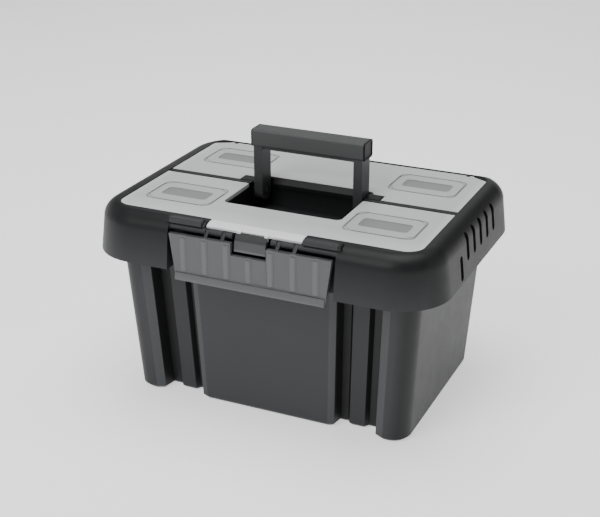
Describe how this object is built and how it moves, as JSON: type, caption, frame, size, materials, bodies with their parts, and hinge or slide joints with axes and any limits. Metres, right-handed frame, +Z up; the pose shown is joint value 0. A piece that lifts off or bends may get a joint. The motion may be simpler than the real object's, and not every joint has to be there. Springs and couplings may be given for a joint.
{
  "type": "storage box",
  "caption": "Portable plastic storage box: tapered bin, domed hinged lid with covered organizers, fold-down carry handle in a well, and a wide ribbed front latch.",
  "frame": {"origin": "centre of the bin's flat underside, on the resting face", "axes": "+X to the right along the front, -Y towards the front with the latch, +Z up"},
  "size_m": [0.439, 0.3425, 0.3148],
  "materials": {
    "bin_plastic": "fine grained",
    "lid_plastic": "fine grained",
    "cover_plastic": "satin",
    "latch_plastic": "satin",
    "handle_plastic": "fine grained",
    "grip_plastic": "soft touch",
    "cap_plastic": "satin",
    "tray_plastic": "satin",
    "divider_plastic": "satin",
    "pin_steel": "ground",
    "catch_plastic": "fine grained"
  },
  "bodies": {
    "bin": {"base_bin": "bin_plastic", "lid_hinge_pins": "pin_steel"},
    "lid": {"lid_shell": "lid_plastic", "handle_pivot_caps": "cap_plastic", "front_organizer_tray": "tray_plastic", "rear_organizer_tray": "tray_plastic", "front_dividers": "divider_plastic", "rear_dividers": "divider_plastic", "handle_pivot_pins": "pin_steel", "latch_pins": "pin_steel"},
    "front_cover": {"front_cover": "cover_plastic", "catch_pin": "pin_steel"},
    "front_catch": {"front_catch": "catch_plastic"},
    "rear_cover": {"rear_cover": "cover_plastic"},
    "handle": {"handle_frame": "handle_plastic", "handle_grip": "grip_plastic", "grip_end_caps": "cap_plastic"},
    "front_latch": {"front_latch": "latch_plastic"}
  },
  "joints": [
    {"name": "lid_hinge", "type": "hinge", "parent": "bin", "child": "lid", "pos_m": [0, 0.1715, 0.184], "axis": [-1, 0, 0], "range_deg": [0, 105]},
    {"name": "front_cover_hinge", "type": "hinge", "parent": "lid", "child": "front_cover", "pos_m": [0, -0.007, 0.2433], "axis": [-1, 0, 0], "range_deg": [0, 85]},
    {"name": "front_catch_hinge", "type": "hinge", "parent": "front_cover", "child": "front_catch", "pos_m": [0, -0.1499, 0.24], "axis": [-1, 0, 0], "range_deg": [0, 35]},
    {"name": "rear_cover_hinge", "type": "hinge", "parent": "lid", "child": "rear_cover", "pos_m": [0, 0.1307, 0.2433], "axis": [-1, 0, 0], "range_deg": [0, 70]},
    {"name": "handle_fold", "type": "hinge", "parent": "lid", "child": "handle", "pos_m": [0, 0.011, 0.234], "axis": [1, 0, 0], "range_deg": [0, 90]},
    {"name": "latch_hinge", "type": "hinge", "parent": "lid", "child": "front_latch", "pos_m": [0, -0.151, 0.238], "axis": [-1, 0, 0], "range_deg": [0, 90]}
  ]
}
